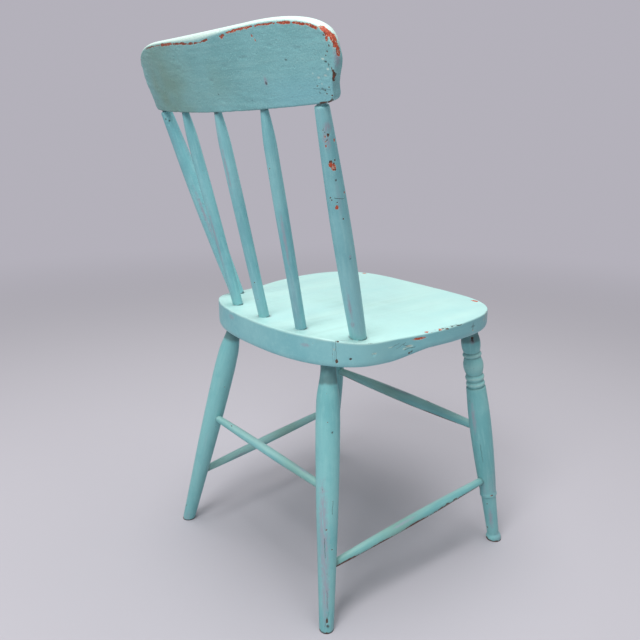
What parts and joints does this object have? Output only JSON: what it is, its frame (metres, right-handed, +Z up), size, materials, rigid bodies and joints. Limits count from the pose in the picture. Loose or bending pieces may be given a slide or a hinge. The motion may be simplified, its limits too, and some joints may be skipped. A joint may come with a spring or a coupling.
{
  "type": "painted wooden side chair",
  "caption": "Old wooden kitchen chair with a plank seat, turned splayed legs, a spindle back and a bent crest rail, under worn and chipped turquoise paint.",
  "frame": {"origin": "on the floor under the middle of the whole chair's box", "axes": "+Z up, the sitter faces -Y, +X is the sitter's left"},
  "size_m": [0.4774, 0.4726, 0.8342],
  "materials": {
    "seat_paint": "satin paint, chipped",
    "leg_paint": "satin paint, rubbed",
    "back_paint": "satin paint, chipped",
    "crest_paint": "satin paint, brushed and chipped"
  },
  "bodies": {
    "root": {"seat": "seat_paint", "rear_leg_left": "leg_paint", "rear_leg_right": "leg_paint", "front_leg_left": "leg_paint", "front_leg_right": "leg_paint", "back_stretcher": "leg_paint", "front_stretcher": "leg_paint", "side_stretcher_left": "leg_paint", "side_stretcher_right": "leg_paint", "back_post_left": "back_paint", "back_post_right": "back_paint", "spindle_left": "back_paint", "spindle_centre": "back_paint", "spindle_right": "back_paint", "crest_rail": "crest_paint"}
  },
  "joints": []
}
